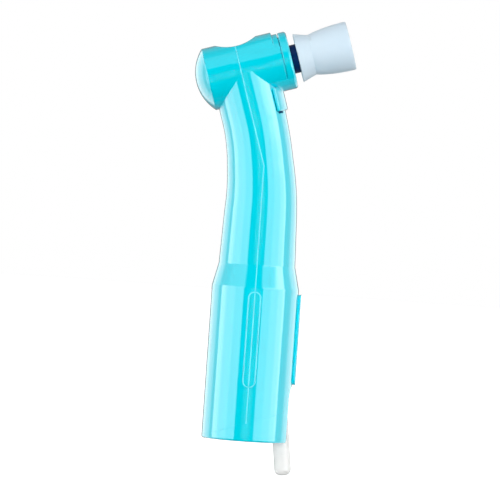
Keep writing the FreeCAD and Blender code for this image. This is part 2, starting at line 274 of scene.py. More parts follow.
class Finish(Nodes):
    """A material with a Principled shader and the nodes that feed it."""

    def __init__(self, name, **constants):
        self.material = bpy.data.materials.new(name)
        self.material.use_nodes = True
        super().__init__(self.material.node_tree)
        self.shader = self.tree.nodes["Principled BSDF"]
        for key, value in constants.items():
            self.shader.inputs[key.replace("_", " ")].default_value = value
        self.place = self.node("TexCoord", output="Object")

    def feed(self, socket, wire):
        """The shader's socket takes its value from the wire."""
        self.tree.links.new(wire.socket, self.shader.inputs[socket])

    def noise(self, size_mm, detail=2.0):
        """Noise from 0 to 1 whose blotches are about this many millimetres across."""
        scale = 1000 / size_mm
        return self.node("TexNoise", {}, {"Vector": self.place, "Scale": scale, "Detail": detail})

    def blend(self, share, low, high):
        """Colour between two colours, by a share from 0 to 1."""
        return self.node("Mix", {"data_type": "RGBA"}, {0: share, 6: low, 7: high}, output=2)

    def bump(self, height, depth_mm, strength=1.0):
        """The surface's relief: a height from 0 to 1 that stands this many millimetres tall."""
        settings = {"Height": height, "Distance": depth_mm / 1000, "Strength": strength}
        self.feed("Normal", self.node("Bump", {}, settings))


print("shader maths ready")

# %% [markdown]
# ## Finishes
# The housing is glossy moulded plastic in a saturated cyan. Real moulded plastic isn't one flat colour:
# the melt flows in faint paler and deeper swirls, the gloss varies a little, and the surface is very
# slightly wavy, which is what breaks up the edge of a reflection. The swirls are two noises added
# together, a broad one and a fine one, and the gloss and the waviness are one noise each.

# %% Cyan moulded plastic
def moulded_plastic(name, deep, pale, **constants):
    """Glossy plastic with faint flow marks, a slightly uneven gloss and a soft waviness."""
    finish = Finish(name, **constants)
    flow = finish.noise(7.0, 3.0)
    haze = finish.noise(1.2, 2.0)
    finish.feed("Base Color", finish.blend(flow * 0.7 + haze * 0.3, deep, pale))
    finish.feed("Roughness", finish.noise(2.5) * 0.06 + 0.07)
    finish.bump(finish.noise(3.0, 1.0), 0.004)
    return finish.material


cyan = moulded_plastic(
    "cyan plastic", (0.0, 0.60, 0.735, 1), (0.0, 0.65, 0.79, 1),
    Coat_Weight=1.0, Coat_Roughness=0.04, Coat_IOR=1.6, IOR=1.5, Specular_IOR_Level=0.6)
# Paler cyan for the flash and the pads' rims: partly thin plastic's lighter colour, partly painted
# highlight.
flash_cyan_and_highlight = moulded_plastic(
    "thin cyan flash, painted highlight", (0.08, 0.72, 0.84, 1), (0.14, 0.76, 0.87, 1), IOR=1.5)
print("made", cyan.name, "and", flash_cyan_and_highlight.name)

# %% [markdown]
# The rotor is the same kind of plastic in dark navy. Only its hub shows, between the head and the cup.

# %% Navy moulded plastic
navy = moulded_plastic(
    "navy plastic", (0.001, 0.016, 0.075, 1), (0.003, 0.028, 0.11, 1),
    IOR=1.4, Specular_IOR_Level=0.2)
# A darker navy without gloss is painted shade: it colours the thin pieces that stand for the shadow round
# the cap's leg.
shadow_navy = moulded_plastic(
    "shadowed gap", (0.0, 0.05, 0.12, 1), (0.0, 0.07, 0.15, 1), IOR=1.2, Specular_IOR_Level=0.0)
print("made", navy.name, "and", shadow_navy.name)

# %% [markdown]
# The cup is soft rubber, pale blue-grey and satin. It has no clear reflections, only a broad sheen, so
# its roughness is high. Light goes a little way into it, which a touch of subsurface scattering gives.

# %% Soft cup rubber
def soft_rubber():
    """Satin rubber: fine grain, a faint dusty variation and light that goes a little way in."""
    finish = Finish(
        "cup rubber", IOR=1.45, Subsurface_Weight=0.25, Subsurface_Radius=(1.0, 1.0, 1.0),
        Subsurface_Scale=0.0008, Sheen_Weight=0.15, Sheen_Roughness=0.4)
    dust = finish.noise(3.0, 3.0)
    finish.feed("Base Color", finish.blend(dust, (0.56, 0.69, 0.785, 1), (0.61, 0.735, 0.825, 1)))
    finish.feed("Roughness", finish.noise(0.8) * 0.12 + 0.38)
    finish.bump(finish.noise(0.12, 2.0), 0.004)
    return finish.material


rubber = soft_rubber()
print("made", rubber.name)

# %% [markdown]
# The drive shaft is milky white plastic that lets light through, so its edges glow and nothing inside
# it shows. The bearings are the same family of plastic, more opaque and matt.

# %% Milky and natural plastics
def milky_plastic():
    """Translucent white plastic with faint clouds."""
    finish = Finish(
        "milky plastic", IOR=1.48, Subsurface_Weight=0.6, Subsurface_Radius=(1.0, 1.0, 1.0),
        Subsurface_Scale=0.0015)
    cloud = finish.noise(2.0, 3.0)
    finish.feed("Base Color", finish.blend(cloud, (0.75, 0.76, 0.75, 1), (0.81, 0.81, 0.80, 1)))
    finish.feed("Roughness", finish.noise(1.0) * 0.1 + 0.2)
    finish.bump(finish.noise(1.5, 1.0), 0.003)
    return finish.material


def natural_plastic():
    """Matt off-white bearing plastic with fine turning marks."""
    finish = Finish("natural plastic", IOR=1.48)
    speck = finish.noise(0.5, 3.0)
    finish.feed("Base Color", finish.blend(speck, (0.76, 0.76, 0.71, 1), (0.82, 0.82, 0.78, 1)))
    finish.feed("Roughness", finish.noise(0.7) * 0.15 + 0.4)
    finish.bump(finish.noise(0.2, 2.0), 0.004)
    return finish.material


milky = milky_plastic()
natural = natural_plastic()
print("made", milky.name, "and", natural.name)

# %% [markdown]
# ## The sleeve and the neck
# One tube runs from the sleeve's mouth up into the head: straight sleeve, a cone where it narrows, and
# a neck that tapers while it bends. It could be lofted from circles. Here each row of the grid is a
# circle of its own radius, square to the tube's centre line, and the grid carries on round the mouth's
# edge and back up inside, so wall and hollow are one closed surface. The hollow ends just above the
# bend. From there up the piece is left solid, and the upper shaft and the rotor run through it, because
# that part of them can't be seen.

# %% Sizes of the tube
sleeve_r = 6.11
sleeve_wall = 0.91
sleeve_bore_r = sleeve_r - sleeve_wall
sleeve_len = 21.4
shoulder_len = 3.2
shoulder_round = 1.2
shoulder_top = sleeve_len + shoulder_len
mouth_round = 0.3
neck_foot_r = 5.36
neck_top_r = 4.38
neck_bore_r = 4.2
seat_r = 3.45
bend_radius = 39.0
bend_reach = bend_radius * math.tan(bend_angle / 2)
bend_start = bend[2] - bend_reach
upper_len = np.linalg.norm(head - bend)
bent_len = bend_start - shoulder_top + bend_radius * bend_angle
print("the neck bends from", round(bend_start, 2), "mm up, over", round(bend_radius * bend_angle, 2), "mm")


# %% [markdown]
# The neck's centre line is straight, then an arc, then straight again, so the bend joins both ends
# without a kink. The radius shrinks smoothly from the shoulder to the head. A curve drawn by hand could
# do both, but a rule gives the same answer for the mould line that has to lie on this surface.

# %% The centre line and the neck's radius
def centre_line(travel):
    """Points and tilt of the tube's centre line at distances from the mouth: straight up, then an arc
    of the bend's radius towards -X, then straight again."""
    turn = np.clip((travel - bend_start) / bend_radius, 0, bend_angle)
    straight = np.minimum(travel, bend_start)
    after = np.maximum(travel - bend_start - bend_radius * bend_angle, 0)
    x = -bend_radius * (1 - np.cos(turn)) - after * np.sin(turn)
    z = straight + bend_radius * np.sin(turn) + after * np.cos(turn)
    return x, z, turn


def neck_radius(travel):
    """Radius that eases from the neck's foot to its top, half evenly and half with a soft start."""
    share = np.clip((travel - shoulder_top) / bent_len, 0, 1)
    eased = share * share * (3 - 2 * share)
    return neck_foot_r + (neck_top_r - neck_foot_r) * (share + eased) / 2


def neck_sway(travel):
    """How far the upper neck sits towards the cup, and how much wider it is that way."""
    sway = 0.28 * np.clip((travel - 39) / 6, 0, 1)
    widen = 1 + 0.014 * np.clip((travel - 28) / 4, 0, 1) + 0.014 * np.clip((travel - 40) / 5, 0, 1)
    return sway, widen


print("neck radius half way up:", neck_radius(np.array([shoulder_top + bent_len / 2])).round(2))

# %% [markdown]
# The mouth has a notch on the cup's side where the loose shaft leans out. Rather than cut it with a
# boolean, the mouth's edge is a height for each direction: nought all round, and up the notch's sides
# and round its top where the notch is. A few extra columns are set where that height changes fast.

# %% The notched mouth
notch_half = 2.1
notch_top = 8.1
notch_draft = 0.06
notch_blend_top = 10.0
notch_flat = notch_half - notch_draft


def mouth_height(angle):
    """Height of the mouth's edge at angles about Z from +X: a round-ended notch with slightly drafted
    sides."""
    off = np.where(np.cos(angle) > 0, np.abs(sleeve_r * np.sin(angle)), sleeve_r)
    middle = notch_top - notch_flat
    side = np.clip((notch_half - off) / notch_draft, 0, 1) * middle
    arch = middle + np.sqrt(np.maximum(notch_flat ** 2 - off ** 2, 0))
    return np.where(off < notch_flat, arch, side)


notch_offs = notch_flat * np.sin(np.linspace(0, math.pi / 2, 12))
notch_offs = np.append(notch_offs, [notch_half, notch_half + hold])
notch_angles = np.arcsin(notch_offs / sleeve_r)
rest = np.linspace(notch_angles[-1], full_turn - notch_angles[-1], 130)[1:-1]
tube_angles = np.concatenate([notch_angles, rest, full_turn - notch_angles[:0:-1]])
print(len(tube_angles), "columns, notch top at", mouth_height(np.zeros(1)).round(2))


# %% [markdown]
# All the rows are listed in one order: down the outside from the head, round the mouth, and up the
# inside. Rows crowd together at rounded edges and spread out on plain walls.

# %% The tube's rows
neck_rows = 90
wall_rows = 30
tube_outer_rows = neck_rows + 28


def tube_rows():
    """Rows of the tube as (travel from the mouth, radius): outside from the head down, round the
    mouth's edge, and up the inside to the seat above the bend."""
    neck = np.linspace(shoulder_top + bent_len + 7.2, shoulder_top + 2 * shoulder_round, neck_rows)
    outside = np.stack([neck_radius(neck), neck], -1)
    foot = neck_radius(np.array([shoulder_top + shoulder_round]))[0]
    edge = rounded([
        (foot, shoulder_top + shoulder_round, 0), (neck_foot_r, shoulder_top, shoulder_round),
        (sleeve_r, sleeve_len, shoulder_round), (sleeve_r, notch_blend_top, 0)], 10)
    up_wall = np.linspace(notch_blend_top, mouth_round, wall_rows + 2)[1:-1]
    wall = np.stack([np.full(wall_rows, sleeve_r), up_wall], -1)
    lip = rounded([
        (sleeve_r, 1, 0), (sleeve_r, 0, mouth_round), (sleeve_bore_r, 0, mouth_round / 2),
        (sleeve_bore_r, 1, 0)], 6)[1:-1]
    bore = np.stack([np.full(12, sleeve_bore_r), np.linspace(mouth_round, notch_blend_top, 12)], -1)
    inside = rounded([
        (sleeve_bore_r, notch_blend_top, 0), (sleeve_bore_r, sleeve_len, 0.5),
        (neck_bore_r, shoulder_top, 0.5), (neck_bore_r, bend[2] - 6.05, 0.2),
        (seat_r, bend[2] - 5.3, 0.2), (seat_r, bend[2], 0)], 5)[1:]
    dome = np.linspace(0, math.pi / 2, 12)[1:-1]
    seat = np.stack([seat_r * np.cos(dome), bend[2] + seat_r * np.sin(dome)], -1)
    return np.vstack([outside, edge, wall, lip, bore, inside, seat])


def tube_grid():
    """The tube: row centre + radius (cos t sideways + sin t across), the lowest rows lifted to follow
    the notch."""
    rows = tube_rows()
    radius, travel = rows[:, :1], rows[:, 1:]
    inner = np.arange(len(rows))[:, None] > tube_outer_rows + wall_rows
    x, z, turn = centre_line(travel)
    straight = inner & (travel > bend_start)
    x, z, turn = np.where(straight, 0, x), np.where(straight, travel, z), np.where(straight, 0, turn)
    t = tube_angles
    lift = mouth_height(t) * np.clip(1 - travel / notch_blend_top, 0, 1)
    sway, widen = neck_sway(np.where(inner, 0, travel))
    across = radius * np.cos(t) * widen + sway
    grid = np.stack([x + across * np.cos(turn), radius * np.sin(t), z + across * np.sin(turn) + lift], -1)
    return grid


tube = shell(tube_grid())
print("tube grid", tube_grid().shape)

# %% [markdown]
# ## The barrel of the head
# The barrel is turned about the cup's axis, with a shallow dome for its back. Its top is worn away into
# a saddle for the fingertip: wherever the round barrel would stand above the saddle's arc, the surface
# drops to the arc. The columns are spaced so that one of them always runs along the saddle's edge,
# which keeps that edge clean.

# %% Sizes of the barrel
barrel_r = 4.4
barrel_back = 4.65
dome_height = 1.8
lip_r = 4.02
lip_front = 6.0
scoop_half = 3.08
scoop_centre = 0.17
scoop_top = 4.48
scoop_bottom = 3.6
scoop_rise = scoop_top - scoop_bottom
scoop_r = (scoop_half ** 2 + scoop_rise ** 2) / (2 * scoop_rise)
boss_front = 5.2
print("saddle radius", round(scoop_r, 2))


# %% [markdown]
# The saddle is an arc across the top of the barrel, seen from the side. Cutting with a boolean would
# leave uneven triangles along the edge, so each point's radius is simply lowered to the arc.

# %% The barrel's outline and its saddle
def barrel_outline():
    """Rows (radius, place along the axis) from the middle of the dome to the front lip."""
    dome_r = (barrel_r ** 2 + dome_height ** 2) / (2 * dome_height)
    reach = math.asin(barrel_r / dome_r)
    t = np.linspace(reach / 24, reach * 0.975, 22)
    middle = dome_r - barrel_back - dome_height
    dome = np.stack([dome_r * np.sin(t), middle - dome_r * np.cos(t)], -1)
    slope = math.tan(reach)
    rim = rounded([
        (barrel_r - 0.4, -barrel_back - 0.4 * slope, 0), (barrel_r, -barrel_back, 0.16),
        (barrel_r, -barrel_back + 1, 0)], 6)[1:-1]
    along = np.linspace(-barrel_back + 0.4, boss_front - 0.25, 60)
    side = np.stack([np.full(len(along), barrel_r), along], -1)
    step = rounded([
        (barrel_r, boss_front - 0.2, 0), (barrel_r, boss_front, 0.08), (lip_r, boss_front + 0.1, 0.08),
        (lip_r, lip_front, 0.06), (barrel_r - 1, lip_front, 0)], 4)[1:]
    return np.vstack([dome, rim, side, step])


def barrel_grid():
    """Radius at (angle from the top, row): the outline's radius, less at the sides and below towards
    the front, and cut down to the saddle's arc / cos(angle) on top."""
    outline = barrel_outline()
    radius, along = outline[:, :1], outline[:, 1:]
    saddle = scoop_bottom + scoop_r - np.sqrt(np.maximum(scoop_r ** 2 - (along - scoop_centre) ** 2, 0))
    edge = np.arccos(np.clip(saddle / radius, -1, 1))
    edge = np.where(np.abs(along - scoop_centre) < scoop_half, np.maximum(edge, 0.06), 0.06)
    flat = np.linspace(-1, 1, 17)[None, :] * edge
    share = np.linspace(0, 1, 105)[None, 1:-1]
    angle = np.concatenate([flat, edge + share * (full_turn - 2 * edge)], 1)
    away = np.abs(np.arctan2(np.sin(angle), np.cos(angle)))
    top = np.clip((math.radians(58) - away) / math.radians(20), 0, 1)
    top = top * top * (3 - 2 * top)
    narrow = lip_r + (barrel_r - lip_r) * np.clip((boss_front - 0.3 - along) / 5.9, 0, 1)
    slim = np.where(along > -1, np.minimum(radius, narrow), radius)
    size = slim + (radius - slim) * top
    cut = saddle / np.maximum(np.cos(angle), 0.05)
    cut = np.where((away < math.pi / 2) & (np.abs(along - scoop_centre) < scoop_half), cut, 99)
    size = np.minimum(size, cut)
    return np.stack([-size * np.cos(angle), size * np.sin(angle), along + 0 * angle], -1)


barrel = shell(on_cup_axis(barrel_grid()))
print("barrel grid", barrel_grid().shape)

# %% [markdown]
# ## Grip pads
# Three long raised pads with round ends give the fingers a hold on the sleeve. Each is a stadium
# outline, shrunk over a small quarter circle from its foot to its flat top, and wrapped on the sleeve.

# %% Raised pads on the sleeve
pad_half = 0.82
pad_height = 0.4
pad_high = 20.8
pad_low = 7.6
pad_round = 0.16


def stadium(half, low, high, points=20):
    """Outline (across, up) of a long shape with half-round ends."""
    t = np.linspace(0, math.pi, points)
    across = half * np.cos(t)
    rise = half * np.sin(t)
    straight = np.linspace(high - half, low + half, 16)[1:-1]
    side = np.full(len(straight), half)
    upper = np.stack([across, high - half + rise], -1)
    left = np.stack([-side, straight], -1)
    lower = np.stack([-across, low + half - rise], -1)
    right = np.stack([side, straight[::-1]], -1)
    return np.vstack([upper, left, lower, right])


def grip_pad(angle, low):
    """Closed pad at an angle about Z from +X. Each row is the stadium drawn in by a bit more, at a
    bit more height."""
    t = np.linspace(0, math.pi / 2, 7)
    draw_in = np.concatenate([[0], pad_round * (1 - np.cos(t)), [0.4, 0.7]])
    lift = np.concatenate([[-0.3], pad_height - pad_round + pad_round * np.sin(t), [pad_height] * 2])
    rows = [stadium(pad_half - d, low + d, pad_high - d) for d in draw_in]
    flat = np.stack(rows)
    radius = sleeve_r + lift[:, None]
    spin = angle + flat[..., 0] / sleeve_r
    return shell(np.stack([radius * np.cos(spin), radius * np.sin(spin), flat[..., 1]], -1))


pads = [grip_pad(math.pi / 2, pad_low), grip_pad(-math.pi / 2, pad_low), grip_pad(0, notch_top + 0.1)]
build_piece("moulded_housing", [tube, barrel] + pads, cyan, "handle", "housing")

# %% [markdown]
# ## Mould lines
# The two halves of the mould leave a hair of flash where they met: a fine raised line down both sides
# of the body. It catches the light, so it shows much more than its size. A flat oval section, 0.15 mm
# wide and standing 0.035 mm proud, is carried along a path that lies on the surface. The same bead in
# other sizes makes the rims of the grip pads and a faint ring round the sleeve. The lines and the rims
# are a paler cyan than the body. This is partly because thin flash shows less of the dye, and partly a
# painted highlight for the light their fine edges catch.

# %% A fine ridge along a path
def ridge(path, normals, width, height, closed=False):
    """Bead: the path plus an ellipse across it, of the given width and standing proud by the height."""
    ahead = np.roll(path, -1, 0) - np.roll(path, 1, 0)
    if not closed:
        ahead[0], ahead[-1] = path[1] - path[0], path[-1] - path[-2]
    ahead /= np.linalg.norm(ahead, axis=1, keepdims=True)
    across = np.cross(ahead, normals)
    t = around(10)
    wide = across[:, None] * (np.cos(t) * width / 2)[None, :, None]
    tall = normals[:, None] * (np.sin(t) * height)[None, :, None]
    return shell(path[:, None] + wide + tall, looped=closed)


flash_width = 0.15
flash_height = 0.035
rim_width = 0.16
rim_height = 0.07
ring_width = 0.09
ring_height = 0.012


def side_flash(side):
    """Bead down one side of the body. It keeps to the two straight axes and the corner where they
    cross, at the surface's own height there: the root of (radius squared - offset squared)."""
    upper = bend + np.linspace(upper_len - 0.5, 0, 90)[:, None] * neck_way
    lower = bend + (np.linspace(bend[2], 2.5, 200)[1:, None] - bend[2]) * np.array([0, 0, 1.0])
    line = np.vstack([upper, lower])
    from_arc = line - np.array([-bend_radius, 0, bend_start])
    angle = np.clip(np.arctan2(from_arc[:, 2], from_arc[:, 0]), 0, bend_angle)
    offset = np.where(line[:, 2] > bend_start, np.hypot(from_arc[:, 0], from_arc[:, 2]) - bend_radius, 0)
    travel = np.where(line[:, 2] > bend_start, bend_start + bend_radius * angle, line[:, 2])
    beyond = np.linalg.norm(line - bend, axis=1) > bend_reach
    offset = np.where(beyond, 0, offset)
    sway, widen = neck_sway(travel)
    outer = tube_rows()[:tube_outer_rows][::-1]
    radius = np.interp(travel, outer[:, 1], outer[:, 0])
    on_pad = (line[:, 2] > pad_low + 0.05) & (line[:, 2] < pad_high - 0.05)
    height = np.sqrt(radius ** 2 - ((offset - sway) / widen) ** 2) + np.where(on_pad, pad_height, 0)
    path = line + side * height[:, None] * side_way
    normals = np.tile(side * side_way, (len(path), 1))
    return ridge(path, normals, flash_width, flash_height)


def head_flash():
    """Bead over the barrel and across its saddle."""
    t = np.linspace(-math.radians(97), math.radians(97), 160)
    dip = scoop_bottom + scoop_r - math.sqrt(scoop_r ** 2 - scoop_centre ** 2)
    radius = np.minimum(barrel_r, dip / np.maximum(np.cos(t), 0.05))
    path = np.stack([-radius * np.cos(t), radius * np.sin(t), 0 * t], -1)
    normals = np.stack([-np.cos(t), np.sin(t), 0 * t], -1)
    flat = on_cup_axis(normals) - head
    return ridge(on_cup_axis(path), flat, flash_width, flash_height)


def pad_rim(angle, low):
    """Bead round the top edge of a grip pad."""
    flat = stadium(pad_half, low, pad_high)
    keep = np.linalg.norm(flat - np.roll(flat, 1, 0), axis=1) > 1e-6
    flat = flat[keep]
    spin = angle + flat[:, 0] / sleeve_r
    out = np.stack([np.cos(spin), np.sin(spin), 0 * spin], -1)
    upright = np.stack([0 * spin, 0 * spin, flat[:, 1]], -1)
    path = out * (sleeve_r + pad_height - rim_height) + upright
    return ridge(path, out, rim_width, rim_height, closed=True)


def witness_ring():
    """Faint slanting ring near the mouth where a sliding part of the mould met the sleeve."""
    t = np.linspace(math.radians(22), full_turn - math.radians(22), 200)
    out = np.stack([np.cos(t), np.sin(t), 0 * t], -1)
    path = out * sleeve_r + np.stack([0 * t, 0 * t, 2.55 + 0.342 * sleeve_r * np.cos(t)], -1)
    return ridge(path, out, ring_width, ring_height)


rims = [pad_rim(math.pi / 2, pad_low), pad_rim(-math.pi / 2, pad_low), pad_rim(0, notch_top + 0.1)]
flash = [side_flash(-1), side_flash(1), head_flash()]
# The beads' paler cyan is partly a painted highlight.
build_piece("mould_lines", flash + rims, flash_cyan_and_highlight, "handle")
build_piece("witness_ring", [witness_ring()], cyan, "handle")

# %% [markdown]
# ## Head cap
# The cap closes the front of the barrel. It is a rounded ring with a hole for the rotor's hub, a skirt
# that fills the barrel's underside, and a leg that lies along the neck and clips there. Ring and skirt
# are turned about the cup's axis and the leg about the neck's axis; the three overlap inside.

# %% The cap's ring
cap_r = 4.08
cap_back = 6.12
cap_front = 7.3
hub_r = 2.03


def cap_ring():
    """Closed ring: its section is a loop that runs over the rim, down the front and back through the
    hole."""
    section = rounded([
        (cap_r, cap_back, 0.14), (cap_r, cap_front, 0.38),
        (hub_r + 0.08, cap_front, 0.08), (hub_r + 0.08, cap_back - 1.4, 0.1),
        (3.5, cap_back - 1.4, 0.1), (3.5, cap_back, 0.05)], 6, closed=True)
    return shell(on_cup_axis(turned(section, 120)), looped=True)


print("ring", cap_ring()[0].shape)


# %% [markdown]
# The leg springs from the cap and lies flat against the neck. It is a bar bent round an axis, like a
# piece cut from a thick pipe, with rounded outer edges. A thin dark line round it and a dark window below
# it are painted shade, for the shadow where the moulded leg doesn't quite meet the neck.

# %% The cap's skirt and leg
def refined(section, spacing):
    """Closed section with its long sides split evenly, so that it can be bent."""
    after = np.roll(section, -1, 0)
    counts = [max(1, round(np.linalg.norm(b - a) / spacing)) for a, b in zip(section, after)]
    parts = [a + (b - a) * np.arange(n)[:, None] / n for a, b, n in zip(section, after, counts)]
    return np.vstack(parts)


def wrapped_bar(inner, outer, half_angle, stations, corner, draw_in):
    """Bar bent round an axis: one rounded section (across, radius) at stations along the axis, with
    its sides and top drawn in at each station by the amount given."""
    wide = half_angle * (inner + outer) / 2
    section = refined(rounded([
        (-wide, inner, 0.01), (wide, inner, 0.01), (wide, outer, corner), (-wide, outer, corner)],
        5, closed=True), 0.25)
    inset = np.array(draw_in)[:, None]
    share = (section[:, 1] - inner) / (outer - inner)
    spin = half_angle * section[:, 0] / wide * (1 - inset / wide)
    radius = section[:, 1] - inset * share
    return np.stack([radius * np.cos(spin), radius * np.sin(spin), 0 * spin + stations[:, None]], -1)


leg_r = 4.88
leg_half_angle = math.radians(42)
leg_end = -6.7
leg_sway = np.array([0.28, 0, 0])


def cap_leg():
    """Leg along the front of the neck, its lower end rounded."""
    stations = leg_end + np.array([0, 0.03, 0.12, 0.3, 0.7, 1.7, 2.7, 3.35])
    draw_in = np.array([0.2, 0.12, 0.04, 0, 0, 0, 0, 0])
    bar = wrapped_bar(3.9, leg_r, leg_half_angle, stations, 0.22, draw_in)
    return shell(on_neck_axis(bar + leg_sway))


def painted_latch_shade():
    """Painted shade: a dark line down both sides of the leg and a dark window below it, for the shadow in
    the gap round the leg and in the window that its catch sits in.
    """
    up = np.linspace(-3.6, leg_end + 0.1, 20)
    side = leg_half_angle + 0.012
    turn = np.concatenate([np.full(20, side), np.linspace(side, -side, 30)[1:-1], np.full(20, -side)])
    along = np.concatenate([up, np.full(28, leg_end - 0.06), up[::-1]])
    out = np.stack([np.cos(turn), np.sin(turn), 0 * turn], -1)
    path = out * (neck_top_r + 0.06) + np.stack([0 * turn, 0 * turn, along], -1) + leg_sway
    line = ridge(on_neck_axis(path), on_neck_axis(out) - head, 0.08, 0.05)
    stations = np.linspace(leg_end - 0.3, leg_end + 0.2, 4)
    window = wrapped_bar(4.1, neck_top_r + 0.1, leg_half_angle * 0.93, stations, 0.05, np.zeros(4))
    return [line, shell(on_neck_axis(window + leg_sway))]


def cap_skirt():
    """Underside of the barrel's front, from under the neck to the ring."""
    stations = np.linspace(3.0, cap_back + 0.4, 14)
    draw_in = np.zeros(len(stations))
    return shell(on_cup_axis(wrapped_bar(3.55, cap_r - 0.005, math.radians(49), stations, 0.06, draw_in)))


# The latch's dark line and window are painted shade, not a real gap.
build_piece("latch_shadow", painted_latch_shade(), shadow_navy, "handle")
build_piece("clip_cap", [cap_ring(), cap_skirt(), cap_leg()], cyan, "handle", "head_cap")

# %% [markdown]
# ## Rotor
# Only the rotor's hub shows, but its bevel gear is there inside the head. A bevel gear is a star shape
# scaled towards one point, the apex where the two shafts cross. So the grid's rows are distances from
# the apex, and each column's angle off the axis goes up and down with the teeth.

# %% A bevel gear
gear_teeth = 10
gear_outer = 2.4 * math.sqrt(2)
gear_inner = 2.0


def bevel_gear(first_turn):
    """Gear opening along its third axis: angle off the axis = root, ramp, tip, ramp for each tooth."""
    t = around(gear_teeth * 24)
    pitch = full_turn / gear_teeth
    off = np.abs((t - first_turn + pitch / 2) % pitch - pitch / 2)
    cone = math.radians(45) + (math.radians(7.4) - off) / 0.8
    cone = np.clip(cone, math.radians(37), math.radians(50.6))
    distance = np.linspace(gear_inner, gear_outer, 5)[:, None]
    return np.stack([
        distance * np.sin(cone) * np.cos(t), distance * np.sin(cone) * np.sin(t),
        distance * np.cos(cone)], -1)


print("gear grid", bevel_gear(0).shape)

# %% [markdown]
# The rest of the rotor is turned in one piece: a journal at the back, a flange that takes the thrust, the
# hub that shows, and a button inside the cup that keeps the soft rubber on.

# %% The rotor's turned body
cup_base = 8.2
journal_r, journal_end = 0.9, -4.3
gear_back_r = 2.04
flange_r, flange_back, flange_front = 3.2, 3.45, 4.25
stem_r = 1.25
button_r, button_back, button_front = 1.95, 9.4, 10.9
rotor_outline = rounded([
    (0.3, journal_end, 0), (journal_r, journal_end, 0.15), (journal_r, 1.6, 0), (1.2, 1.6, 0),
    (gear_back_r, 2.71, 0), (gear_back_r, flange_back, 0.05), (flange_r, flange_back, 0.1),
    (flange_r, flange_front, 0.1), (hub_r, flange_front, 0.05), (hub_r, cup_base, 0.05),
    (stem_r, cup_base, 0.05), (stem_r, button_back, 0.1), (button_r, button_back, 0.1),
    (button_r, button_front, 0.5), (0.3, button_front, 0)], 6)
rotor_shells = [shell(on_cup_axis(turned(rotor_outline, 80))), shell(on_cup_axis(bevel_gear(0)))]
build_piece("rotor_hub", rotor_shells, navy, "polisher", "rotor")

# %% [markdown]
# ## Polishing cup
# The cup is soft rubber, moulded in one piece: a flared base, a sharp waist, a bowl that widens to the
# lip, and a hollow with webs on its floor that hold the paste. The hollow's floor is a height for each
# direction and radius, raised where a web is.

# %% The cup's outside and hollow
cup_len = 7.6
cup_depth = 3.5
cup_base_r = 3.45
cup_waist_r = 2.83
cup_lip_r = 3.37
cup_columns = 180
hollow_rows = 40
cup_webs = 6
web_height = 1.5
cup_end = cup_base + cup_len
cup_floor = cup_end - cup_depth


def cup_outline():
    """Rows from the middle of the base over the outside and the lip, and down into the hollow."""
    waist = cup_base + 2.0
    t = np.linspace(0, 1, 24)[1:]
    bowl = np.stack([cup_waist_r + 0.61 * np.sin(t * 1.75) ** 0.8, waist + 5.4 * t], -1)
    base = rounded([
        (1.3, cup_base, 0), (cup_base_r, cup_base, 0.07), (cup_waist_r, waist, 0.1),
        tuple(bowl[0]) + (0,)], 6)
    lip = rounded([
        tuple(bowl[-1]) + (0,), (cup_lip_r, cup_end, 0.1), (2.78, cup_end, 0.12),
        (2.2, cup_floor, 0.25), (0.25, cup_floor, 0)], 8)[1:]
    return np.vstack([base, bowl, lip])


def cup_grid():
    """The cup's rows turned about its axis, with the hollow's rows raised over each web."""
    outline = cup_outline()
    inside = np.arange(len(outline)) > np.argmax(outline[:, 1])
    low = outline[inside]
    steps = np.concatenate([[0], np.cumsum(np.linalg.norm(np.diff(low, axis=0), axis=1))])
    even = np.linspace(0, steps[-1], hollow_rows)
    finer = np.stack([np.interp(even, steps, low[:, 0]), np.interp(even, steps, low[:, 1])], -1)
    outline = np.vstack([outline[~inside], finer])
    grid = turned(outline, cup_columns)
    t = around(cup_columns)
    off = np.abs((t + math.pi / cup_webs) % (full_turn / cup_webs) - math.pi / cup_webs)
    radius = outline[:, :1]
    beside = np.clip((0.32 - radius * np.sin(off)) / 0.14, 0, 1)
    beyond = np.clip((radius - 0.7) / 0.2, 0, 1)
    hollow = np.arange(len(outline))[:, None] >= len(outline) - hollow_rows
    web = beside * beside * (3 - 2 * beside) * beyond * hollow
    target = np.maximum(grid[..., 2], cup_floor + web_height)
    grid[..., 2] += (target - grid[..., 2]) * web
    return grid


build_piece("polishing_cup", [shell(on_cup_axis(cup_grid()))], rubber, "polisher", "prophy_cup", 60)

# %% [markdown]
# ## Drive shaft
# The white shaft hangs loose in the sleeve and leans out of the notch. It is turned about its own
# leaning axis: ball, thin neck, journal, collar, and a shank whose last part is the standard gripping
# end, with a rounded tip. Two lugs beside the ball turn the upper shaft.

# %% The loose drive shaft
shaft_len = 43.3
grip_len = 8.4
grip_r = 1.175
shank_r = 1.0
collar_r, collar_low, collar_high = 1.6, -6.0, -5.4
slim_r = 0.55
ball_r = 1.05
lug_r, lug_half = 0.36, 1.75


def on_shaft_axis(points):
    """Points whose third axis becomes the leaning shaft's axis, from the corner of the bend."""
    return seated(points, bend, np.cross(side_way, shaft_way), shaft_way)


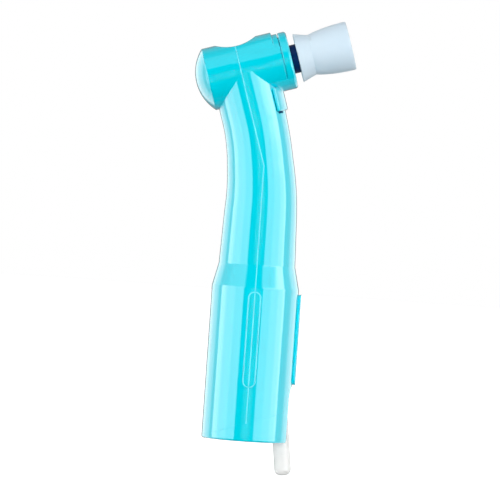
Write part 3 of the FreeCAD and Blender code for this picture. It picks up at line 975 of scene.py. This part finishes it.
shaft_outline = rounded([
    (0.1, -shaft_len, 0), (grip_r, -shaft_len, 0.85), (grip_r, grip_len - shaft_len, 0.05),
    (shank_r, grip_len - shaft_len + 0.1, 0.05), (shank_r, collar_low, 0.05),
    (collar_r, collar_low, 0.1), (collar_r, collar_high, 0.1), (shank_r, collar_high, 0.05),
    (shank_r, -2.85, 0.1), (slim_r, -2.85, 0.1), (slim_r, -0.894, 0)], 8)
ball_turn = np.linspace(math.asin(slim_r / ball_r), math.pi - 0.05, 20)
ball_rows = np.stack([ball_r * np.sin(ball_turn), -ball_r * np.cos(ball_turn)], -1)
shaft_body = shell(on_shaft_axis(turned(np.vstack([shaft_outline, ball_rows]), 72)))
lug_outline = rounded([
    (0.05, -lug_half, 0), (lug_r, -lug_half, 0.1), (lug_r, lug_half, 0.1), (0.05, lug_half, 0)], 4)
lugs = shell(seated(turned(lug_outline, 24), bend, shaft_way, side_way))
build_piece("drive_shaft", [shaft_body, lugs], milky, "drive", "lower_shaft")

# %% [markdown]
# ## Pieces kept from the CAD model
# The bearings, the washer, the clip and the upper shaft sit deep inside, so their CAD shapes stay and
# only need the right finish.

# %% Finish the inner pieces
inner_pieces = [
    "thrust_washer", "upper_shaft", "shaft_clip", "front_bush", "rear_bush", "swivel_bush", "bush_retainer"]
for node in inner_pieces:
    mesh = frame["nodes"][node].data
    mesh.materials.clear()
    mesh.materials.append(natural)
print("finished", len(inner_pieces), "inner pieces")

# %% [markdown]
# ## Floor, light and camera
# A plain pale floor runs far back. It glows a little by itself, and it throws no light, shadow or
# reflection onto the object, so that it only makes a plain ground to look at.

# %% The floor
lowest = min(point[2] for point in cad_box)
floor_size = 6.0


def pale_floor():
    """Large flat floor just under the object."""
    finish = Finish("pale floor", Roughness=0.9, Emission_Strength=0.6, Emission_Color=(1, 1, 1, 1))
    low, high = (0.93, 0.93, 0.93, 1), (0.95, 0.95, 0.95, 1)
    finish.feed("Base Color", finish.blend(finish.noise(90.0), low, high))
    mesh = bpy.data.meshes.new("floor")
    across, up = floor_size / 2, lowest - 0.0002
    corners = [(-across, -across, up), (across, -across, up), (across, across, up), (-across, across, up)]
    mesh.from_pydata(corners, [], [(0, 1, 2, 3)])
    mesh.materials.append(finish.material)
    floor = bpy.data.objects.new("floor", mesh)
    bpy.context.scene.collection.objects.link(floor)
    floor.visible_glossy = False
    floor.visible_diffuse = False
    floor.visible_shadow = False


pale_floor()
print("floor at", round(lowest * 1000, 2), "mm")

# %% [markdown]
# A wall of soft boxes stands on each side of the camera, with a dark gap between them: their broad
# reflections on the round body, and the full colour in the gap, are what make it read as glossy
# plastic. A small box in front only fills in the colour and makes no reflection. The room behind is
# bright to the left and right, which puts a thin bright edge on each side of the body.

# %% The room and the soft boxes
look_at = np.array([-1.12, 0.0, 26.6]) / 1000


def white_room():
    """World light by direction: brightest behind the object and off to each side, a fifth of that
    straight behind, about half of it beside, and dark on the camera's side but for light from above.
    The camera itself sees plain white."""
    world = bpy.data.worlds.new("white room")
    world.use_nodes = True
    bpy.context.scene.world = world
    room = Nodes(world.node_tree)
    parts = room.node("SeparateXYZ", {}, {0: room.node("TexCoord", output="Generated")})
    sideways, ahead, upwards = (Wire(room, socket) for socket in parts.socket.node.outputs)
    behind = room.ramp(ahead, 0.30, 0.45)
    beside = room.ramp(ahead, -0.25, -0.05)
    overhead = room.ramp(upwards, 0.52, 0.60)
    over_left = room.ramp(0 - sideways, 0.40, 0.50) * room.ramp(upwards, 0.20, 0.30)
    over_right = room.ramp(sideways, 0.25, 0.32) * room.ramp(upwards, 0.20, 0.30)
    front = overhead * 0.5 + (over_left + over_right) * (1 - overhead) * 1.2
    aside = room.ramp(room.node("Math", {"operation": "ABSOLUTE"}, {0: sideways}), 0.35, 0.45)
    level = (behind * 0.75 + beside * 0.9) * (aside * 0.8 + 0.2) + front * (1 - beside)
    seen = room.node("LightPath", output="Is Camera Ray")
    level = level * (1 - seen) + seen
    background = world.node_tree.nodes["Background"]
    background.inputs["Color"].default_value = (1, 1, 1, 1)
    world.node_tree.links.new(level.socket, background.inputs["Strength"])


def soft_box(name, azimuth, distance, width, height, power, rise=0.0, mirrored=True):
    """Rectangular light that stands at an angle from the camera's direction and faces the object. A
    mirrored one only shows as a reflection, and any other only as an even light without one."""
    light = bpy.data.lights.new(name, "AREA")
    light.shape = "RECTANGLE"
    light.size, light.size_y = width, height
    light.energy = power
    holder = bpy.data.objects.new(name, light)
    bpy.context.scene.collection.objects.link(holder)
    spot = np.array([math.sin(azimuth) * distance, -math.cos(azimuth) * distance, rise]) + look_at
    holder.location = spot
    aim = Vector((look_at[0] - spot[0], look_at[1] - spot[1], 0))
    holder.rotation_euler = aim.to_track_quat("-Z", "Y").to_euler()
    holder.visible_camera = False
    holder.visible_diffuse = not mirrored
    holder.visible_glossy = mirrored


def soft_wall(name, start, end, height, rise, glows):
    """Soft boxes side by side over a range of angles, each with its own glow in watts for each square
    metre, so that the wall's reflection fades from one end to the other."""
    edges = np.linspace(math.radians(start), math.radians(end), len(glows) + 1)
    distance = 1.2
    for i, glow in enumerate(glows):
        middle = (edges[i] + edges[i + 1]) / 2
        width = 2 * distance * math.tan(abs(edges[i + 1] - edges[i]) / 2)
        soft_box(f"{name} {i + 1}", middle, distance, width, height, glow * width * height, rise)


white_room()
soft_wall("left soft box", -30, -99, 0.85, -0.1, [5.8, 7.4, 7.2])
soft_wall("right soft box", 21, 86, 1.0, 0.0, [5.4, 7.0, 9.0])
soft_box("front fill", 0.0, 1.0, 0.4, 0.4, 10.2, mirrored=False)
print("room and soft boxes set")

# %% [markdown]
# A long lens from far off keeps the sleeve's sides nearly parallel. Rolling the camera by four degrees
# leans the body a little in the picture.

# %% The camera
camera_distance = 0.69
frame_width = 0.07
camera_roll = math.radians(-4.0)


def add_camera():
    """Long lens that looks straight at the side, rolled so that the sleeve leans."""
    lens = bpy.data.cameras.new("camera")
    lens.sensor_width = 36
    lens.lens = 36 * camera_distance / frame_width
    lens.clip_start = 0.01
    camera = bpy.data.objects.new("camera", lens)
    bpy.context.scene.collection.objects.link(camera)
    camera.location = look_at - np.array([0, camera_distance, 0])
    camera.rotation_euler = (math.pi / 2, camera_roll, 0)
    bpy.context.scene.camera = camera
    bpy.context.scene.view_settings.view_transform = "Standard"


add_camera()
print("camera", round(camera_distance, 2), "m away")
